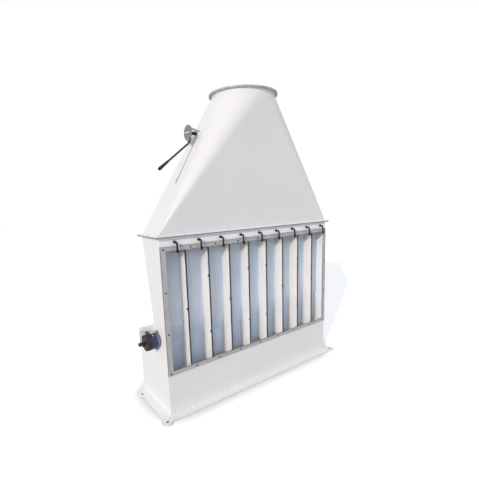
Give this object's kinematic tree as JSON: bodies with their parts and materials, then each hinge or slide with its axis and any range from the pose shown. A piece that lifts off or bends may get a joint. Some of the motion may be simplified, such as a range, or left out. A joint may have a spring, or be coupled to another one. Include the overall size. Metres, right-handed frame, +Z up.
{
  "type": "windowed aspiration channel",
  "caption": "Tall sheet-metal aspiration channel: windowed bays with flap levers under a tapering suction hood with a damper handle and a side vibrator motor.",
  "frame": {"origin": "centre of the four base bolt holes, on the floor", "axes": "+Z up, -Y towards the windows, +X to the right seen from the windows"},
  "size_m": [1.709, 0.5365, 2.042],
  "materials": {
    "white_paint": "satin powder coat",
    "shaded_paint": "matt paint",
    "zinc_strip": "dull zinc",
    "clear_sheet": "clear acrylic",
    "seal": "matt",
    "black_lever": "semi gloss",
    "disc_steel": "speckled zinc",
    "bright_steel": "bright",
    "handle_rod": "black oxide",
    "grip": "moulded",
    "motor_blue": "gloss enamel",
    "motor_black": "matt",
    "motor_grey": "cast"
  },
  "bodies": {
    "root": {"base_flange": "white_paint", "left_side_plate": "white_paint", "right_side_plate": "white_paint", "lower_front_panel": "white_paint", "header_panel": "white_paint", "rear_wall": "white_paint", "rear_lower_wall": "white_paint", "feed_shelf": "white_paint", "inner_wall": "shaded_paint", "bay_partitions": "white_paint", "partition_seals": "seal", "window_sheet": "clear_sheet", "top_rail": "zinc_strip", "bottom_rail": "zinc_strip", "left_stile": "zinc_strip", "right_stile": "zinc_strip", "body_flange": "white_paint", "hood_flange": "white_paint", "hood_shell": "white_paint", "outlet_ring": "white_paint", "damper_bracket": "white_paint", "motor_plate": "white_paint", "motor_foot": "motor_grey", "motor_housing": "motor_blue", "motor_end_cap": "motor_black"},
    "damper": {"damper_blade": "disc_steel", "damper_disc": "disc_steel", "damper_key_bar": "bright_steel", "handle_nut": "black_lever", "damper_handle": "handle_rod", "damper_grip": "grip"},
    "flap_1": {"flap_lever_1": "black_lever"},
    "flap_2": {"flap_lever_2": "black_lever"},
    "flap_3": {"flap_lever_3": "black_lever"},
    "flap_4": {"flap_lever_4": "black_lever"},
    "flap_5": {"flap_lever_5": "black_lever"},
    "flap_6": {"flap_lever_6": "black_lever"},
    "flap_7": {"flap_lever_7": "black_lever"},
    "flap_8": {"flap_lever_8": "black_lever"},
    "flap_9": {"flap_lever_9": "black_lever"}
  },
  "joints": [
    {"name": "damper_turn", "type": "hinge", "parent": "root", "child": "damper", "pos_m": [0, -0.035, 1.763], "axis": [-1, 0, 0], "range_deg": [0, 90]},
    {"name": "flap_1_turn", "type": "hinge", "parent": "root", "child": "flap_1", "pos_m": [-0.654, -0.1585, 1.11], "axis": [0, -1, 0], "range_deg": [0, 90]},
    {"name": "flap_2_turn", "type": "hinge", "parent": "root", "child": "flap_2", "pos_m": [-0.487, -0.1585, 1.11], "axis": [0, -1, 0], "range_deg": [0, 90]},
    {"name": "flap_3_turn", "type": "hinge", "parent": "root", "child": "flap_3", "pos_m": [-0.32, -0.1585, 1.11], "axis": [0, -1, 0], "range_deg": [0, 90]},
    {"name": "flap_4_turn", "type": "hinge", "parent": "root", "child": "flap_4", "pos_m": [-0.153, -0.1585, 1.11], "axis": [0, -1, 0], "range_deg": [0, 90]},
    {"name": "flap_5_turn", "type": "hinge", "parent": "root", "child": "flap_5", "pos_m": [0.014, -0.1585, 1.11], "axis": [0, -1, 0], "range_deg": [0, 90]},
    {"name": "flap_6_turn", "type": "hinge", "parent": "root", "child": "flap_6", "pos_m": [0.181, -0.1585, 1.11], "axis": [0, -1, 0], "range_deg": [0, 90]},
    {"name": "flap_7_turn", "type": "hinge", "parent": "root", "child": "flap_7", "pos_m": [0.348, -0.1585, 1.11], "axis": [0, -1, 0], "range_deg": [0, 90]},
    {"name": "flap_8_turn", "type": "hinge", "parent": "root", "child": "flap_8", "pos_m": [0.515, -0.1585, 1.11], "axis": [0, -1, 0], "range_deg": [0, 90]},
    {"name": "flap_9_turn", "type": "hinge", "parent": "root", "child": "flap_9", "pos_m": [0.682, -0.1585, 1.11], "axis": [0, -1, 0], "range_deg": [0, 90]}
  ]
}
